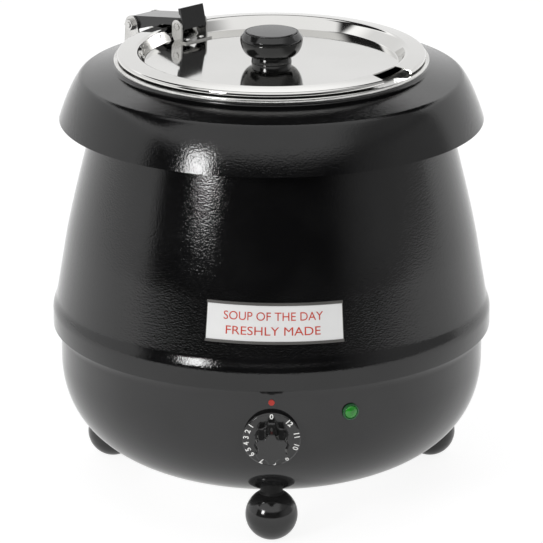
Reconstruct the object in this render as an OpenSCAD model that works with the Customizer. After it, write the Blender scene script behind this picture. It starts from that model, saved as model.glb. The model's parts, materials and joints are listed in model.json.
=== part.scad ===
// Electric soup kettle. A black enamelled body on three ball feet holds a water bath, a
// lift-out steel pot and a hinged lid with a ladle notch. Millimetres, +Z up, dial to -Y.
// The origin is on the surface that the feet stand on, under the middle of the body.

/* [Body] */
// Outer radius of the belly band
belly_r = 170.4; // [168:0.1:172]
// Outer radius of the lower bowl at its widest
bowl_r = 164.4; // [162:0.1:165]
// Thickness of the pressed steel shells
wall = 1.2; // [0.8:0.1:1.4]
// Height of the bowl's flat floor
floor_z = 31; // [29:0.5:32]
// Height of the belly band's lower edge
band_z = 134.5; // [132:0.5:136]
// Height of the belly band
band_h = 17.5; // [15:0.5:19]
// Outer radius of the collar's free lower edge
collar_r = 163.3; // [162:0.1:165]
// Height of the collar's lip, on which the pot hangs
lip_z = 344.6; // [343:0.1:347]

/* [Pot and bath] */
// Inner radius of the soup pot
pot_r = 104; // [100:0.5:105]
// Outer radius of the pot's flange
pot_flange_r = 121.7; // [121:0.1:123]
// Inner depth of the pot below its flange
pot_depth = 232; // [220:1:234]
// Outer radius of the water pan
pan_r = 113.2; // [112:0.1:114]
// Height of the water pan's underside
pan_z = 95; // [93:0.5:97]

/* [Lid] */
// Radius of the lid's outer edge
lid_r = 118.3; // [117:0.1:119]
// Radius of the flat disc that sits down in the pot's mouth
disc_r = 97.5; // [95:0.5:98]
// How far the disc lies below the lid's crest
disc_drop = 9.3; // [8:0.1:10]
// Thickness of the lid
lid_t = 0.9; // [0.7:0.1:1]
// Direction of the ladle notch
notch_az = -36; // [-60:1:-20]
// Width of the ladle notch at its inner end
notch_w = 30; // [24:1:36]
// Radius of the knob at its widest
knob_r = 24.1; // [22:0.1:26]
// Height of the knob
knob_h = 24; // [22:0.5:26]

/* [Hinge] */
// Direction of the hinge from the middle of the lid
hinge_az = 134; // [120:1:150]
// Distance of the lower hinge bolt from the axis of the body
bolt_s = 145; // [144:0.5:146]
// Distance of the upper hinge pin from the axis of the body
pin_s = 92; // [91:0.5:93]
// Outer width of the arm
arm_w = 24; // [22:1:26]
// Thickness of the hinge's sheet steel
sheet = 1.5; // [1.2:0.1:1.6]
// Radius of the hinge bolt and pin
hinge_pin_r = 2.5; // [2:0.1:3]

/* [Dial] */
// Radius of the dial's numbered skirt
dial_r = 21.9; // [20:0.1:23]
// Radius of the dial's grip over its lobes
grip_r = 12.7; // [11:0.1:14]
// How far the grip stands out from the numbered skirt
grip_h = 17; // [14:0.5:18]

/* [Feet] */
// Radius of the ball feet
ball_r = 20; // [19:0.1:21]
// Distance of the front foot from the axis of the body
front_foot_s = 125.5; // [124:0.5:130]
// Distance of the rear feet from the axis of the body
rear_foot_s = 138.5; // [134:0.5:140]
// Angle of the two rear feet from the front foot
foot_spread = 113; // [110:1:120]

/* [Hidden] */

$fn = 64;
lathe_fn = 180;
running = 0.05;     // radial clearance of a turning pin in its bore
slack = 0.3;        // gap between pieces that move apart
steps = 14;         // spans of each curve in a turned outline

// Curves and outlines. A path is a list of [radius, height] points.
function unit(v) = v / norm(v);
function bez(a, b, c, d, n = steps) = [for (i = [0:n]) let (t = i / n, u = 1 - t)
    u * u * u * a + 3 * u * u * t * b + 3 * u * t * t * c + t * t * t * d];
function rest(p) = [for (i = [1:len(p) - 1]) p[i]];
function back(p) = [for (i = [len(p) - 1:-1:0]) p[i]];
function edge_normal(p, i) = let (d = unit(p[i + 1] - p[i])) [-d[1], d[0]];
function miter(p, i) =
    let (a = edge_normal(p, max(i - 1, 0)), b = edge_normal(p, min(i, len(p) - 2)))
    (a + b) / (1 + a * b);
// The path moved t to its left: inwards where it climbs, upwards where it runs outwards
function beside(p, t) = [for (i = [0:len(p) - 1]) p[i] + t * miter(p, i)];
// Radius of a climbing path at height z
function radius_at(p, z) = lookup(z, [for (q = p) [q[1], q[0]]]);

// Outer outline of the lower bowl, from its floor to the flange hidden in the belly band
bowl_opening_r = 92;
bowl_top_z = band_z + band_h - 7;
bowl_path = concat(
    [[bowl_opening_r, floor_z]],
    bez([104, floor_z], [128, floor_z + 7.5], [bowl_r, floor_z + 27], [bowl_r, 108]),
    bez([bowl_r, band_z - 8], [bowl_r, band_z - 5], [bowl_r + 0.8, band_z - 3],
        [bowl_r + 2, band_z], 6),
    [[bowl_r + 2, bowl_top_z], [belly_r - wall, bowl_top_z]]
);

// Outer outline of the upper housing: belly band, flare, waist and the hidden pan seat
band_top_z = band_z + band_h;
seat_r = pan_r + 4.4;
bell_path = concat(
    [[belly_r - 0.7, band_z], [belly_r, band_z + 0.8]],
    bez([belly_r, band_top_z - 5.2], [belly_r, band_top_z - 0.5],
        [belly_r - 2.2, band_top_z + 2.5], [167.4, 158], 8),
    rest(bez([167.4, 158], [165.6, 167.5], [162.9, 184], [160, 201])),
    rest(bez([160, 201], [156.5, 222], [146.5, 262], [137, 298])),
    rest(bez([137, 298], [132, 316], [seat_r, 320], [seat_r, lip_z - 10])),
    [[seat_r, lip_z - 2 * wall], [pan_r + 0.1, lip_z - 2 * wall]]
);

// Outer outline of the collar: flared side, shoulder, sloping top, upstand and lip
upstand_r = pot_flange_r - 2.6;
collar_path = concat(
    bez([collar_r, 298.5], [159.5, 310.5], [153.5, 325.5], [147.6, 332]),
    [[145.8, 333.2], [upstand_r + 1.6, 339.1], [upstand_r, 340.4]],
    [[upstand_r, lip_z - 0.8], [upstand_r - 0.8, lip_z], [pan_r - wall, lip_z]]
);

// Outer outlines of the water pan and the pot
pan_corner = 12;
pan_path = concat(
    [[0, pan_z]],
    bez([pan_r - pan_corner, pan_z], [pan_r - pan_corner * 0.45, pan_z],
        [pan_r, pan_z + pan_corner * 0.45], [pan_r, pan_z + pan_corner]),
    [[pan_r, lip_z - 2 * wall], [seat_r - 0.2, lip_z - 2 * wall]]
);
pot_t = 1;
pot_floor_z = lip_z + pot_t - pot_depth - pot_t;
pot_corner = 18;
pot_out_r = pot_r + pot_t;
pot_path = concat(
    [[0, pot_floor_z]],
    bez([pot_out_r - pot_corner, pot_floor_z], [pot_out_r - pot_corner * 0.45, pot_floor_z],
        [pot_out_r, pot_floor_z + pot_corner * 0.45], [pot_out_r, pot_floor_z + pot_corner]),
    [[pot_out_r, lip_z], [pot_flange_r - 0.4, lip_z]]
);
flange_z = lip_z + pot_t;

// Top outline of the lid, from its middle to its outer edge
crest_z = lip_z + 6.7;
disc_z = crest_z - disc_drop;
lid_path = concat(
    [[0, disc_z], [disc_r - 1.6, disc_z], [disc_r + 0.2, disc_z + 0.7]],
    bez([disc_r + 4.2, crest_z - 1.7], [disc_r + 5.2, crest_z - 0.1],
        [disc_r + 6.8, crest_z + 0.3], [disc_r + 8.5, crest_z], 8),
    rest(bez([disc_r + 8.5, crest_z], [lid_r - 8, crest_z - 0.5],
        [lid_r - 5, crest_z - 1.1], [lid_r - 2.2, crest_z - 1.9], 6)),
    rest(bez([lid_r - 2.2, crest_z - 1.9], [lid_r - 1, crest_z - 2.3],
        [lid_r, crest_z - 3], [lid_r, crest_z - 4.4], 5))
);

// Hinge: s runs outwards from the axis of the body, the lateral direction is across it
bolt_z = lip_z + 1.4;
pin_z = lip_z + 9.4;
half_arm = arm_w / 2;
ear_in = half_arm + slack;
ear_out = ear_in + sheet;
ear_r = 7;
ear_z = 330.5;                  // where the lower ears end, past the collar's shoulder
lid_ear_r = 5.45;
arm_rise = 8.8;                 // slope of the arm's top, in degrees
arm_top_z = bolt_z + 6.8;       // height of the arm's top over the bolt
plate_top = 17;                 // reach of the stop plate above and below its middle
plate_s = 88.6;                 // where the stop plate crosses the arm
foot_in_s = pin_s - 10.5;
foot_out_s = 94.6;              // the bracket's foot ends before the lid's step
screw_r = 2;
base_screw_s = 136;
base_screw_y = 6;
function arm_z(s) = arm_top_z + (bolt_s - s) * tan(arm_rise);
function collar_z(s) = 333.2 + (145.8 - s) * (339.1 - 333.2) / (145.8 - upstand_r - 1.6);

// Dial frame: its z runs out of the bowl, tilted down a little, and its y runs up
dial_z = 96;
dial_tilt = 6;
dial_wall_r = radius_at(bowl_path, dial_z);
skirt_back = 1.5;
skirt_face = 4;
shaft_r = 3;
bushing_r = 5;
thermostat_front = -4.4;
thermostat_d = 22;
screw_x = 14;
flute_r = 5;
flute_depth = 2.5;
dial_front = dial_wall_r + (skirt_face + grip_h) * cos(dial_tilt) + grip_r * sin(dial_tilt);

// Gland frame: the same, at the back
gland_z = 80;
gland_tilt = 16.5;
gland_r = 9.5;
gland_bore_r = 3.8;
gland_wall_r = radius_at(bowl_path, gland_z);
gland_len = (dial_front - gland_wall_r - gland_r * sin(gland_tilt)) / cos(gland_tilt);
gland_thread_r = 7;
gland_inner = -9;

lamp_az = -69;
lamp_z = 113;
lamp_barrel_r = 4.9;
lamp_gap = 0.3;
dot_z = 124;
dot_r = 2.3;

label_z = [171.2, 199.8];
label_arc = 35.8;
label_az = -90 + 0.9;
label_roll = 0.73;
label_gap = 0.15;
holder_t = 0.5;
holder_lip = 1.6;
card_t = 0.4;

plate_r = 78;
heater_t = 4;
element_s = 60;
element_r = 4;
element_z = pan_z - heater_t - element_r;
clamp_z = element_z - element_r;
clamp_angles = [30, 150, 270];
foot_z = ball_r - 0.4;
stud_r = 3;
function foot_s(i) = i == 0 ? front_foot_s : rear_foot_s;
// Top of the saddle that carries a foot's nut inside the bowl
function saddle_z(i) = i == 0 ? 55 : 62;
base_screw_ring = 96;

module at_azimuth(az) rotate([0, 0, az]) children();
module shell(p, t) rotate_extrude($fn = lathe_fn) polygon(concat(p, back(beside(p, t))));
module turned(p) rotate_extrude() polygon(p);
module hinge_frame() rotate([0, 0, hinge_az]) children();
// Flat outline in [s, height], extruded w across the hinge, centred at y
module across(w, y = 0) translate([0, y, 0]) rotate([90, 0, 0])
    linear_extrude(w, center = true) children();
module cross_pin(s, z, r, w) translate([s, 0, z]) rotate([90, 0, 0])
    cylinder(r = r, h = w, center = true);
module dial_frame() translate([0, -dial_wall_r, dial_z]) rotate([90 + dial_tilt, 0, 0])
    children();
module gland_frame() translate([0, gland_wall_r, gland_z])
    rotate([-90 - gland_tilt, 0, 0]) children();
module lamp_frame() rotate([0, 0, lamp_az]) translate([bowl_r, 0, lamp_z])
    rotate([0, 90, 0]) children();
module foot_frame(i) at_azimuth(-90 + i * foot_spread) translate([foot_s(i), 0, 0]) children();
module hex(af, h) cylinder(r = af / sqrt(3), h = h, $fn = 6);
module tube(r, bore, h) difference() {
    cylinder(r = r, h = h);
    translate([0, 0, -1]) cylinder(r = bore, h = h + 2);
}
// Solid under the outer face of the bowl, and solid inside its inner face
module bowl_solid() rotate_extrude($fn = lathe_fn)
    polygon(concat([[0, floor_z]], bowl_path, [[0, bowl_top_z]]));
module bowl_cavity() rotate_extrude($fn = lathe_fn)
    polygon(concat([[0, floor_z + wall]], beside(bowl_path, wall), [[0, bowl_top_z + wall]]));

// Flexible lead along a path of 3-D points
lead_sides = 6;
function lead_ring(p, i, r, ref) =
    let (t = unit(p[min(i + 1, len(p) - 1)] - p[max(i - 1, 0)]),
         u = unit(cross(t, ref)), v = cross(t, u))
    [for (k = [0:lead_sides - 1]) let (a = 360 * k / lead_sides)
        p[i] + r * (cos(a) * u + sin(a) * v)];
module lead(p, r, ref = [0.3, 0.9, 0.1]) {
    n = lead_sides;
    last = (len(p) - 1) * n;
    points = [for (i = [0:len(p) - 1]) each lead_ring(p, i, r, ref)];
    sides = [for (i = [0:len(p) - 2], k = [0:n - 1])
        let (a = i * n + k, b = i * n + (k + 1) % n)
        each [[a, a + n, b + n], [a, b + n, b]]];
    caps = [[for (k = [0:n - 1]) k], [for (k = [n - 1:-1:0]) last + k]];
    polyhedron(points, concat(sides, caps));
}

// Body shells
module lower_housing() color("#1b1b1c") difference() {
    shell(bowl_path, wall);
    dial_frame() {
        translate([0, 0, -10]) cylinder(r = bushing_r + 0.1, h = 20);
        for (x = [-screw_x, screw_x])
            translate([x, 0, -10]) cylinder(r = 1.6, h = 20);
    }
    gland_frame() translate([0, 0, -10]) cylinder(r = gland_thread_r + 0.1, h = 20);
    lamp_frame() translate([0, 0, -10]) cylinder(r = lamp_barrel_r + lamp_gap, h = 20);
    translate([0, -bowl_r, dot_z]) rotate([90, 0, 0])
        cylinder(r = dot_r, h = 10, center = true);
    for (i = [-1:1]) foot_frame(i) cylinder(r = stud_r + 0.1, h = 80);
    for (i = [0:3]) at_azimuth(45 + 90 * i) translate([base_screw_ring, 0, floor_z - 1])
        cylinder(r = screw_r + 0.1, h = 5);
}
module upper_housing() color("#202021") shell(bell_path, wall);
module collar() color("#202021") difference() {
    shell(collar_path, wall);
    hinge_frame() for (y = [-base_screw_y, base_screw_y])
        translate([base_screw_s, y, 320]) cylinder(r = screw_r + 0.1, h = 30);
}
module water_pan() color("silver") shell(pan_path, wall);
module soup_pot() color("gainsboro") {
    shell(pot_path, pot_t);
    // Rolled edge that hides the collar's upstand
    rotate_extrude($fn = lathe_fn) polygon([
        [pot_flange_r - 1.2, flange_z - 2.6], [pot_flange_r - 0.4, flange_z - 2.8],
        [pot_flange_r, flange_z - 2.4], [pot_flange_r, flange_z - 0.5],
        [pot_flange_r - 0.5, flange_z], [pot_flange_r - 1.2, flange_z]
    ]);
}
module base_plate() color("dimgray") difference() {
    translate([0, 0, floor_z - wall]) cylinder(r = 100, h = wall, $fn = lathe_fn);
    for (i = [0:3]) at_azimuth(45 + 90 * i) translate([base_screw_ring, 0, floor_z - 5])
        cylinder(r = screw_r + 0.1, h = 10);
    translate([-40, 40, floor_z - 5]) cylinder(r = 2.6, h = 10);
}
module base_plate_screws() color("silver") for (i = [0:3])
    at_azimuth(45 + 90 * i) translate([base_screw_ring, 0, floor_z - wall]) {
        cylinder(r = screw_r, h = 9);
        translate([0, 0, -2.4]) cylinder(r = 3.8, h = 2.4);
    }

// Feet
module ball_foot(i) color("#141414") foot_frame(i) difference() {
    union() {
        translate([0, 0, foot_z]) sphere(r = ball_r, $fn = 96);
        translate([0, 0, foot_z]) cylinder(r = 8.5, h = 40);
    }
    translate([0, 0, -5]) cube([60, 60, 10], center = true);
    translate([-foot_s(i), 0, 0]) bowl_solid();
    translate([0, 0, foot_z]) cylinder(r = stud_r, h = 60);
}
module foot_front() ball_foot(0);
module foot_left() ball_foot(-1);
module foot_right() ball_foot(1);
module foot_studs() color("silver") for (i = [-1:1]) foot_frame(i)
    translate([0, 0, foot_z]) cylinder(r = stud_r, h = saddle_z(i) + 7 - foot_z);
module foot_saddles() color("dimgray") for (i = [-1:1]) foot_frame(i) difference() {
    intersection() {
        translate([0, 0, 38]) cylinder(r = 9, h = saddle_z(i) - 38);
        translate([-foot_s(i), 0, 0]) bowl_cavity();
    }
    cylinder(r = stud_r + 0.1, h = 80);
}
module foot_nuts() color("silver") for (i = [-1:1]) foot_frame(i)
    translate([0, 0, saddle_z(i)]) difference() {
        hex(10, 5);
        translate([0, 0, -1]) cylinder(r = stud_r, h = 7);
    }

// Heating, under the water pan
module heater_plate() color("lightgray")
    translate([0, 0, pan_z - heater_t]) cylinder(r = plate_r, h = heater_t, $fn = lathe_fn);
module heating_element() color("gray") {
    translate([0, 0, element_z]) rotate([0, 0, 100])
        rotate_extrude(angle = 340, $fn = lathe_fn)
            translate([element_s, 0]) circle(r = element_r, $fn = 32);
    for (a = [80, 100]) at_azimuth(a) translate([element_s, 0, element_z - 26])
        cylinder(r = 3, h = 26 - element_r + 1);
}
module element_clamps() color("silver") for (a = clamp_angles) at_azimuth(a) difference() {
    translate([element_s - 14, -6, clamp_z - 2]) cube([28, 12, 2]);
    for (s = [-10, 10]) translate([element_s + s, 0, clamp_z - 5]) cylinder(r = 2.1, h = 10);
}
module clamp_screws() color("silver")
    for (a = clamp_angles, s = [-10, 10]) at_azimuth(a) translate([element_s + s, 0, 0]) {
        translate([0, 0, clamp_z - 2]) cylinder(r = screw_r, h = pan_z - heater_t - clamp_z + 2);
        translate([0, 0, clamp_z - 4.6]) cylinder(r = 3.6, h = 2.6);
    }
module thermal_cutout() color("tan") {
    translate([0, 0, element_z - element_r]) cylinder(r = 9, h = 2 * element_r);
    for (y = [-4, 4])
        translate([-0.4, y - 3, element_z - element_r - 9]) cube([0.8, 6, 9]);
}

// Thermostat, with its bulb clipped under the water pan
module thermostat_body() color("dimgray") dial_frame() difference() {
    union() {
        translate([-18, -15, thermostat_front - thermostat_d])
            cube([36, 30, thermostat_d]);
        translate([0, 0, thermostat_front]) cylinder(r = bushing_r, h = 1 - thermostat_front);
    }
    translate([0, 0, thermostat_front - 17]) cylinder(r = shaft_r + running, h = 30);
    for (x = [-screw_x, screw_x])
        translate([x, 0, thermostat_front - 6]) cylinder(r = 1.5, h = 10);
}
module thermostat_screws() color("silver") dial_frame() for (x = [-screw_x, screw_x])
    translate([x, 0, 0]) {
        translate([0, 0, thermostat_front - 6]) cylinder(r = 1.5, h = 6 - thermostat_front);
        translate([0, 0, -0.3]) cylinder(r = 2.8, h = 1.4);
    }
bulb_r = 3;
bulb_at = [30, -88, pan_z - bulb_r];
module sensor_bulb() color("goldenrod") translate(bulb_at) rotate([0, 90, 0])
    cylinder(r = bulb_r, h = 50, center = true);
module bulb_clip() color("silver") for (x = [-14, 14])
    translate([bulb_at[0] + x, bulb_at[1], 0]) difference() {
        translate([-3, -5, pan_z - 2 * bulb_r - 1]) cube([6, 10, 2 * bulb_r + 1]);
        translate([0, 0, bulb_at[2]]) rotate([0, 90, 0])
            cylinder(r = bulb_r, h = 20, center = true);
        translate([-10, -bulb_r, bulb_at[2]]) cube([20, 2 * bulb_r, 10]);
    }
module capillary_tube() color("goldenrod")
    lead(bez([bulb_at[0] - 25, bulb_at[1], bulb_at[2]], [-20, -88, pan_z - 4],
             [-34, -112, 76], [-14, -138.5, 88], 16), 0.9);

// Pilot lamp and the dial's index
module pilot_lens() color("green") lamp_frame() {
    turned([[0, -8], [lamp_barrel_r, -8], [lamp_barrel_r, lamp_gap], [6.5, lamp_gap], [6.5, 1],
        [6, 1.8], [4.6, 2.5], [2.4, 3], [0, 3.1]]);
}
module pilot_nut() color("dimgray") lamp_frame() translate([0, 0, -5])
    tube(8, lamp_barrel_r, 3.4);
module pilot_housing() color("whitesmoke") lamp_frame() {
    translate([0, 0, -24]) cylinder(r = lamp_barrel_r, h = 16);
    for (y = [-2.5, 2.5]) translate([-1.5, y - 0.4, -31]) cube([3, 0.8, 7]);
}
module index_dot() color("red") translate([0, -bowl_r + 2.4, dot_z]) rotate([90, 0, 0])
    cylinder(r = dot_r, h = 2.9);

// Label holder and card, bent round the upper housing
module label_layer(near, far, z0, z1) {
    heights = [for (i = [0:4]) z0 + (z1 - z0) * i / 4];
    section = concat(
        [for (z = heights) [radius_at(bell_path, z) + near, z]],
        [for (z = back(heights)) [radius_at(bell_path, z) + far, z]]);
    mid_z = (label_z[0] + label_z[1]) / 2;
    translate([0, 0, mid_z]) rotate([0, label_roll, 0]) translate([0, 0, -mid_z])
        rotate([0, 0, label_az - label_arc / 2])
            rotate_extrude(angle = label_arc, $fn = lathe_fn) polygon(section);
}
module label_holder() color("gray") {
    lip = label_gap + holder_t + card_t + 0.5;
    label_layer(label_gap, label_gap + holder_t, label_z[0], label_z[1]);
    label_layer(label_gap, lip, label_z[0] - holder_lip, label_z[0]);
    label_layer(label_gap, lip, label_z[1], label_z[1] + holder_lip);
}
module label_card() color("white")
    label_layer(label_gap + holder_t, label_gap + holder_t + card_t, label_z[0], label_z[1]);

// Mains entry and wiring
block_at = [0, 62, floor_z];
module terminal_block() color("beige") difference() {
    translate(block_at + [-24, -9, 0]) cube([48, 18, 16]);
    for (x = [-16, 0, 16]) translate(block_at + [x, 0, 9]) rotate([90, 0, 0])
        cylinder(r = 1.8, h = 30, center = true);
}
module earth_stud() color("gold") translate([-40, 40, 0]) {
    translate([0, 0, floor_z - 3]) cylinder(r = 2.5, h = 19);
    translate([0, 0, floor_z - wall - 3]) hex(8, 3);
    translate([0, 0, floor_z]) hex(8, 4);
}
module cable_gland() color("#202020") gland_frame() difference() {
    union() {
        translate([0, 0, gland_inner]) cylinder(r = gland_thread_r, h = 13 - gland_inner);
        translate([0, 0, 0.4]) hex(19, 6);
        translate([0, 0, 7]) cylinder(r = gland_r, h = gland_len - 12);
        translate([0, 0, gland_len - 5]) cylinder(r1 = gland_r, r2 = 6.5, h = 5);
    }
    translate([0, 0, gland_inner - 1]) cylinder(r = gland_bore_r, h = gland_len + 20);
}
module gland_locknut() color("#202020") gland_frame() translate([0, 0, -7.5]) difference() {
    hex(19, 4.5);
    translate([0, 0, -1]) cylinder(r = gland_thread_r, h = 7);
}
module wiring() {
    for (k = [-1:1]) color(["saddlebrown", "steelblue", "olive"][k + 1])
        lead(bez([k * 2.4, 147, 83.5], [k * 3, 128, 90], [k * 16, 104, floor_z + 11],
                 [block_at[0] + k * 16, block_at[1] + 9, block_at[2] + 9], 12), 1.2,
             [1, 0, 0.2]);
    for (k = [0:1]) color("ivory")
        lead(bez([block_at[0] - 16 * k, block_at[1] - 9, block_at[2] + 9], [-16 * k, 34, 40],
                 [24 - 48 * k, 40, 46],
                 [element_s * cos(100 - 20 * k), element_s * sin(100 - 20 * k), element_z - 26],
                 12), 1.2, [1, 0, 0.2]);
    for (k = [0:1]) color("dimgray")
        lead(bez([block_at[0] + 12 + 8 * k, block_at[1] - 9, block_at[2] + 4],
                 [30 + 8 * k, 30, 40], [70 + 6 * k, -60, 60],
                 [(bowl_r - 31) * cos(lamp_az) - 2.5 + 5 * k, (bowl_r - 31) * sin(lamp_az), lamp_z],
                 12), 0.9);
}

// Hinge pieces that stay on the collar
module hinge_base() color("lightgray") hinge_frame() difference() {
    union() {
        for (side = [-1, 1]) across(sheet, side * (ear_in + sheet / 2)) {
            polygon([[bolt_s - ear_r, bolt_z], [bolt_s + ear_r, bolt_z],
                [bolt_s + ear_r + 1.2, ear_z], [bolt_s - ear_r - 4, ear_z]]);
            translate([bolt_s, bolt_z]) circle(r = ear_r);
        }
        across(2 * ear_out) polygon([[131, collar_z(131)], [bolt_s + 1, collar_z(bolt_s + 1)],
            [bolt_s + 1, collar_z(bolt_s + 1) + sheet], [131, collar_z(131) + sheet]]);
    }
    rotate([0, 0, -hinge_az]) rotate_extrude($fn = lathe_fn)
        polygon(concat([[0, 290]], [[collar_r, 290]], collar_path, [[0, lip_z]]));
    cross_pin(bolt_s, bolt_z, hinge_pin_r, 60);
    for (y = [-base_screw_y, base_screw_y])
        translate([base_screw_s, y, 320]) cylinder(r = screw_r + 0.1, h = 30);
}
module hinge_base_screws() color("silver") hinge_frame()
    for (y = [-base_screw_y, base_screw_y]) translate([base_screw_s, y, 0]) {
        translate([0, 0, 324]) cylinder(r = screw_r, h = collar_z(base_screw_s) + 2.4 - 324);
        translate([0, 0, collar_z(base_screw_s) + 2.4]) cylinder(r = 3.6, h = 2);
        translate([0, 0, 325.5]) difference() {
            hex(7, 3.2);
            translate([0, 0, -1]) cylinder(r = screw_r, h = 6);
        }
    }
module hinge_bolt() color("silver") hinge_frame() {
    cross_pin(bolt_s, bolt_z, hinge_pin_r, 2 * ear_out + 8);
    translate([bolt_s, -ear_out, bolt_z]) rotate([90, 0, 0]) hex(8, 3);
}
module hinge_nut() color("silver") hinge_frame()
    translate([bolt_s, ear_out + 3.2, bolt_z]) rotate([90, 0, 0]) difference() {
        hex(8, 3.2);
        translate([0, 0, -1]) cylinder(r = hinge_pin_r, h = 6);
    }

// Arm: a channel that turns on the bolt and carries the lid on its upper pin
module arm_side() {
    polygon([
        [bolt_s, arm_z(bolt_s)], [plate_s, arm_z(plate_s)], [plate_s, pin_z + 1],
        [pin_s - 5.2, pin_z], [pin_s + 5.2, pin_z], [pin_s + 18, arm_z(pin_s + 18) - 5.6],
        [bolt_s - 7.5, bolt_z - 2.4], [bolt_s, bolt_z]
    ]);
    translate([pin_s, pin_z]) circle(r = 5.2);
    translate([bolt_s, bolt_z]) circle(r = 6.75);
}
module hinge_arm() color("#161616") hinge_frame() difference() {
    union() {
        for (side = [-1, 1]) across(sheet, side * (half_arm - sheet / 2)) arm_side();
        across(arm_w) polygon([[bolt_s, arm_z(bolt_s)], [plate_s, arm_z(plate_s)],
            [plate_s, arm_z(plate_s) - sheet], [bolt_s, arm_z(bolt_s) - sheet]]);
        // Stop plate across the arm's inner end, with a folded hem at its top
        translate([plate_s, 0, arm_z(plate_s) - 1]) rotate([0, 14, 0]) {
            translate([-0.9, -half_arm, -8.6]) cube([1.5, arm_w, plate_top]);
            translate([-0.9, -half_arm, plate_top - 8.6 - 5]) cube([2.6, arm_w, 5]);
        }
    }
    cross_pin(bolt_s, bolt_z, hinge_pin_r + running, 60);
    cross_pin(pin_s, pin_z, hinge_pin_r + running, 60);
}
module spacer_sleeve() color("silver") hinge_frame() difference() {
    cross_pin(bolt_s, bolt_z, 4.2, arm_w - 2 * sheet);
    cross_pin(bolt_s, bolt_z, hinge_pin_r + running, arm_w);
}

// Lid and what is fixed to it
rivet_y = 7;
rivet_s = foot_in_s + 6.2;
module lid() color("gainsboro") difference() {
    shell(lid_path, -lid_t);
    at_azimuth(notch_az) translate([disc_r + 6.3, 0, disc_z - 5]) linear_extrude(30)
        polygon([[0, -notch_w / 2], [25, -notch_w / 2 - 5], [25, notch_w / 2 + 5],
            [0, notch_w / 2]]);
    translate([0, 0, disc_z - 5]) cylinder(r = screw_r, h = 10);
    hinge_frame() for (y = [-rivet_y, rivet_y])
        translate([rivet_s, y, disc_z - 5]) cylinder(r = 1.6, h = 10);
}
module lid_bracket() color("lightgray") hinge_frame() difference() {
    union() {
        translate([foot_in_s, -ear_out, disc_z]) cube([foot_out_s - foot_in_s, 2 * ear_out, sheet]);
        for (side = [-1, 1]) across(sheet, side * (ear_in + sheet / 2)) {
            polygon([[pin_s - lid_ear_r, disc_z], [foot_out_s, disc_z],
                [pin_s + lid_ear_r, disc_z + 4.5], [pin_s + lid_ear_r, pin_z],
                [pin_s - lid_ear_r, pin_z]]);
            translate([pin_s, pin_z]) circle(r = lid_ear_r);
        }
    }
    cross_pin(pin_s, pin_z, hinge_pin_r, 60);
    // Shallow countersinks round the pin's ends
    for (side = [-1, 1]) translate([0, side * (ear_out + 0.4), 0])
        cross_pin(pin_s, pin_z, 3.2, 1.8);
    for (y = [-rivet_y, rivet_y])
        translate([rivet_s, y, disc_z - 5]) cylinder(r = 1.6, h = 10);
}
module lid_bracket_rivets() color("silver") hinge_frame() for (y = [-rivet_y, rivet_y])
    translate([rivet_s, y, disc_z]) {
        translate([0, 0, -lid_t]) cylinder(r = 1.6, h = lid_t + sheet);
        translate([0, 0, -lid_t - 1]) cylinder(r = 3, h = 1);
        translate([0, 0, sheet]) cylinder(r1 = 3, r2 = 2, h = 1.1);
    }
module hinge_pin() color("silver") hinge_frame()
    cross_pin(pin_s, pin_z, hinge_pin_r, 2 * ear_out + 0.6);
cap_r = 19.6;
cap_drop = 3;
knob_neck_r = 15.35;
module lid_knob() color("#151515") translate([0, 0, disc_z]) difference() {
    turned(concat(
        [[0, 0], [knob_neck_r - 0.5, 0], [knob_neck_r, 0.5], [knob_neck_r, 4.2]],
        bez([knob_neck_r, 4.4], [knob_neck_r + 5.1, 5], [knob_r - 0.2, 11], [knob_r, knob_h - 6.4]),
        [[knob_r - 0.5, knob_h - 4.2], [cap_r + 0.9, knob_h - 0.7], [cap_r + 0.5, knob_h - 0.6],
         [cap_r, knob_h - 1.2], [cap_r, knob_h - cap_drop], [0, knob_h - cap_drop]]));
    translate([0, 0, -1]) cylinder(r = screw_r, h = 15);
}
module knob_cap() color("#3a3a3a") translate([0, 0, disc_z + knob_h - cap_drop])
    turned([[0, 0], [cap_r - 0.05, 0], [cap_r - 0.05, cap_drop - 0.7],
        [cap_r - 0.6, cap_drop], [0, cap_drop]]);
module knob_screw() color("silver") translate([0, 0, disc_z - lid_t - 1]) {
    cylinder(r = screw_r, h = 14);
    translate([0, 0, -2.4]) cylinder(r = 4, h = 2.4);
}
module knob_washer() color("silver") translate([0, 0, disc_z - lid_t - 1])
    tube(7, screw_r, 1);

// Dial and its shaft
module dial_knob() color("#151515") dial_frame() difference() {
    union() {
        turned([[0, skirt_back], [dial_r - 0.6, skirt_back], [dial_r, skirt_back + 0.5],
            [dial_r, skirt_face - 0.6], [dial_r - 0.6, skirt_face], [0, skirt_face]]);
        translate([0, 0, skirt_face - 0.5]) difference() {
            cylinder(r = grip_r, h = grip_h + 0.5);
            for (k = [0:5]) rotate([0, 0, 60 * k])
                translate([grip_r - flute_depth + flute_r, 0, -1])
                    cylinder(r = flute_r, h = grip_h + 3);
        }
    }
    translate([0, 0, -5]) cylinder(r = shaft_r, h = 5 + skirt_face + 10);
}
module thermostat_shaft() color("silver") dial_frame()
    translate([0, 0, thermostat_front - 16.5])
        cylinder(r = shaft_r, h = 16.5 - thermostat_front + skirt_face + 10);

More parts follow.
